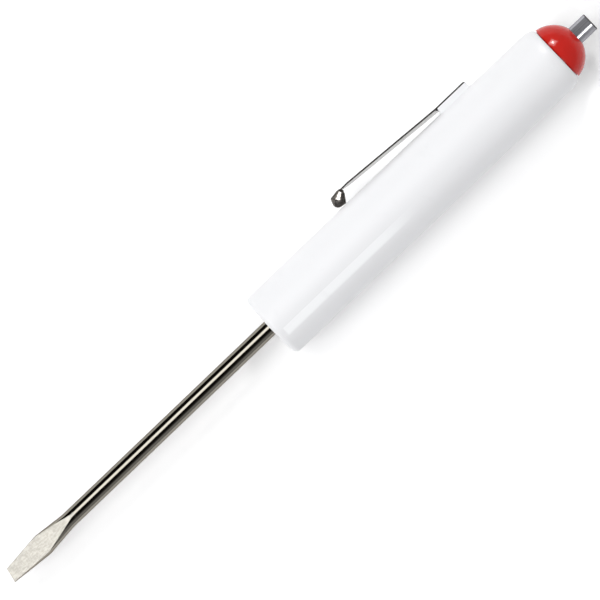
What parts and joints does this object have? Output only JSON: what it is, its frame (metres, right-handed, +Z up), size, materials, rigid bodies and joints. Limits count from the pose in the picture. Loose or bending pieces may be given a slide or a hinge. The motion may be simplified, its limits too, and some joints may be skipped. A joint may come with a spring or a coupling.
{
  "type": "pocket screwdriver",
  "caption": "Pen-like pocket screwdriver with a flat ground tip, a round plastic barrel, a domed end with a pick-up magnet and a spring pocket clip.",
  "frame": {"origin": "centre of the blade tip's end face, on the tool's axis", "axes": "+X along the tool's axis from the tip to the magnet; +Y towards the side that the pocket clip is on; +Z up as the tool lies on a table with its clip to one side"},
  "size_m": [0.1513, 0.0169, 0.014],
  "materials": {
    "blade_steel": "bright plated round shank, with ground and lightly grained tip faces",
    "barrel_plastic": "satin moulded plastic",
    "button_plastic": "glossy moulded plastic",
    "magnet_plating": "plated, slightly cool grey",
    "clip_steel": "bright plated spring steel"
  },
  "bodies": {
    "handle": {"barrel": "barrel_plastic", "blade": "blade_steel", "button": "button_plastic", "magnet": "magnet_plating", "clip_root": "clip_steel"},
    "clip": {"clip_arm": "clip_steel"}
  },
  "joints": [
    {"name": "clip_flex", "type": "hinge", "parent": "handle", "child": "clip", "pos_m": [0.1188, 0.00807, -0.00113], "axis": [0, -0.1392, -0.9903], "range_deg": [0, 5], "stiffness_Nm_per_rad": 0.2}
  ]
}
